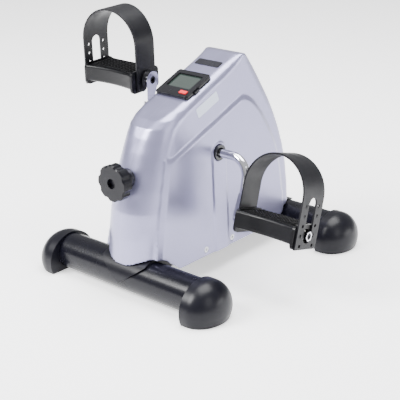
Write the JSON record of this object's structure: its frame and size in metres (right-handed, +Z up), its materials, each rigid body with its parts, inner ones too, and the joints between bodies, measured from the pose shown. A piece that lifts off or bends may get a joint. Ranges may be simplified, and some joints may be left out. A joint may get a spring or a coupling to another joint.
{
  "type": "pedal exerciser",
  "caption": "Compact floor pedal exerciser: closed housing on crosswise foot tubes, bent crank with strapped pedals, tension knob and tilted monitor.",
  "frame": {"origin": "on the floor, midway between the two foot tubes and on the housing centre plane", "axes": "+X along the crank axle to the right of a user facing the knob, +Y from the knob side to the back, +Z up"},
  "size_m": [0.407, 0.3812, 0.3454],
  "materials": {
    "silver_shell": "metallic silver moulded plastic, satin",
    "black_tube": "satin black powder coat",
    "cap_plastic": "satin black moulded plastic",
    "frame_steel": "black painted steel",
    "zinc_steel": "bright zinc plate",
    "bearing_steel": "ground steel",
    "black_trim": "black gloss plastic",
    "label_film": "pale printed film",
    "monitor_black": "black moulded plastic",
    "lcd_glass": "dark liquid crystal panel",
    "board_green": "solder mask",
    "button_red": "red moulded plastic",
    "chrome": "bright chrome plate",
    "black_steel": "black oxide steel",
    "drum_plastic": "moulded nylon",
    "magnet": "sintered magnet",
    "felt": "pressed wool felt",
    "knob_plastic": "fine textured black plastic",
    "pedal_plastic": "satin black moulded plastic",
    "pedal_rubber": "studded anti-slip rubber",
    "bush_nylon": "natural nylon",
    "strap_pvc": "black soft plastic, satin"
  },
  "bodies": {
    "base": {"circuit_board": "board_green", "frame_beam": "frame_steel", "front_foot_tube": "black_tube", "front_left_cap": "cap_plastic", "front_right_cap": "cap_plastic", "front_saddle": "frame_steel", "housing_posts": "frame_steel", "housing_screws": "zinc_steel", "knob_bush": "black_trim", "lcd_panel": "lcd_glass", "left_bearing_cup": "frame_steel", "left_crank_bearing": "bearing_steel", "left_crank_ring": "black_trim", "left_housing": "silver_shell", "left_upright": "frame_steel", "monitor_case": "monitor_black", "monitor_frame": "monitor_black", "name_plate": "black_trim", "rear_foot_tube": "black_tube", "rear_left_cap": "cap_plastic", "rear_right_cap": "cap_plastic", "rear_saddle": "frame_steel", "right_bearing_cup": "frame_steel", "right_crank_bearing": "bearing_steel", "right_crank_ring": "black_trim", "right_housing": "silver_shell", "right_upright": "frame_steel", "saddle_bolts": "zinc_steel", "saddle_nuts": "zinc_steel", "side_label": "label_film", "speed_sensor": "black_trim"},
    "crank": {"crank": "chrome", "left_spindle": "black_steel", "right_spindle": "black_steel", "left_spindle_nut": "chrome", "right_spindle_nut": "chrome", "brake_drum": "drum_plastic", "sensor_magnet": "magnet"},
    "left_pedal": {"left_pedal_bushes": "bush_nylon", "left_pedal_inner_plate": "pedal_plastic", "left_pedal_outer_plate": "pedal_plastic", "left_pedal_platform": "pedal_plastic", "left_pedal_strap": "strap_pvc", "left_pedal_tread": "pedal_rubber"},
    "right_pedal": {"right_pedal_bushes": "bush_nylon", "right_pedal_inner_plate": "pedal_plastic", "right_pedal_outer_plate": "pedal_plastic", "right_pedal_platform": "pedal_plastic", "right_pedal_strap": "strap_pvc", "right_pedal_tread": "pedal_rubber"},
    "brake": {"brake_yoke": "zinc_steel", "brake_pad": "felt", "tension_rod": "zinc_steel"},
    "knob": {"tension_knob": "knob_plastic"},
    "button": {"reset_button": "button_red"}
  },
  "joints": [
    {"name": "crank_spin", "type": "hinge", "parent": "base", "child": "crank", "pos_m": [0, -0.021, 0.171], "axis": [1, 0, 0], "continuous": true},
    {"name": "left_pedal_spin", "type": "hinge", "parent": "crank", "child": "left_pedal", "pos_m": [-0.0935, -0.00697, 0.24671], "axis": [1, 0, 0], "continuous": true},
    {"name": "right_pedal_spin", "type": "hinge", "parent": "crank", "child": "right_pedal", "pos_m": [0.0935, -0.03503, 0.09529], "axis": [1, 0, 0], "continuous": true},
    {"name": "tension_turn", "type": "hinge", "parent": "base", "child": "knob", "pos_m": [0, -0.172, 0.161], "axis": [0, -1, 0], "range_deg": [0, 1080]},
    {"name": "brake_slide", "type": "slide", "parent": "base", "child": "brake", "axis": [0, -1, 0], "range_m": [0, 0.00375]},
    {"name": "reset_press", "type": "slide", "parent": "base", "child": "button", "axis": [0, 0.373, -0.9278], "range_m": [0, 0.0008], "stiffness_N_per_m": 300}
  ],
  "couplings": [
    {"joint": "tension_turn", "follows": "brake_slide", "rad_per_m": 5026.5},
    {"joint": "left_pedal_spin", "follows": "crank_spin", "ratio": -1},
    {"joint": "right_pedal_spin", "follows": "crank_spin", "ratio": -1}
  ]
}
